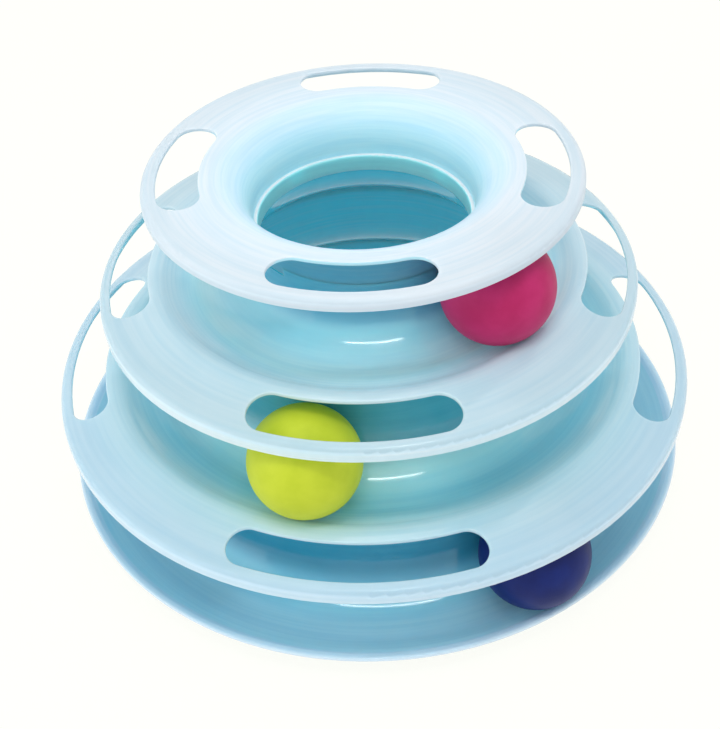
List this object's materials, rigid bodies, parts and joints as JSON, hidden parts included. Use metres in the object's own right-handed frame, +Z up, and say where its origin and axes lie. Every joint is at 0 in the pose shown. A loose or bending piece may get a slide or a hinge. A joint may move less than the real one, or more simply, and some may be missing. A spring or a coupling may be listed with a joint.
{
  "type": "cat ball track toy",
  "caption": "Ball track tower for cats: stacked round plastic tracks with slotted brims, an open well in the middle and a loose ball running round in each track.",
  "frame": {"origin": "on the floor under the middle of the base", "axes": "+Z up along the stack's axis, -Y towards the front slots"},
  "size_m": [0.2482, 0.2482, 0.1305],
  "materials": {
    "blue_plastic": "smooth satin moulding",
    "pink_plastic": "matte",
    "yellow_plastic": "matte",
    "purple_plastic": "matte",
    "pad_rubber": "matte foam rubber"
  },
  "bodies": {
    "base": {"base_track": "blue_plastic", "anti_slip_pad_1": "pad_rubber", "anti_slip_pad_2": "pad_rubber", "anti_slip_pad_3": "pad_rubber", "anti_slip_pad_4": "pad_rubber", "anti_slip_pad_5": "pad_rubber", "anti_slip_pad_6": "pad_rubber"},
    "lower_tier": {"lower_tier": "blue_plastic"},
    "upper_tier": {"upper_tier": "blue_plastic"},
    "top_tier": {"top_tier": "blue_plastic"},
    "pink_ball": {"pink_ball_upper_half": "pink_plastic", "pink_ball_lower_half": "pink_plastic"},
    "yellow_ball": {"yellow_ball_upper_half": "yellow_plastic", "yellow_ball_lower_half": "yellow_plastic"},
    "purple_ball": {"purple_ball_upper_half": "purple_plastic", "purple_ball_lower_half": "purple_plastic"}
  },
  "joints": [
    {"name": "lower_tier_lift", "type": "slide", "parent": "base", "child": "lower_tier", "axis": [0, 0, 1], "range_m": [0, 0.03]},
    {"name": "upper_tier_lift", "type": "slide", "parent": "lower_tier", "child": "upper_tier", "axis": [0, 0, 1], "range_m": [0, 0.03]},
    {"name": "top_tier_lift", "type": "slide", "parent": "upper_tier", "child": "top_tier", "axis": [0, 0, 1], "range_m": [0, 0.03]},
    {"name": "purple_ball_run", "type": "hinge", "parent": "base", "child": "purple_ball", "pos_m": [0, 0, 0.0239], "axis": [0, 0, 1], "continuous": true},
    {"name": "yellow_ball_run", "type": "hinge", "parent": "lower_tier", "child": "yellow_ball", "pos_m": [0, 0, 0.0652], "axis": [0, 0, 1], "continuous": true},
    {"name": "pink_ball_run", "type": "hinge", "parent": "upper_tier", "child": "pink_ball", "pos_m": [0, 0, 0.1074], "axis": [0, 0, 1], "continuous": true}
  ]
}
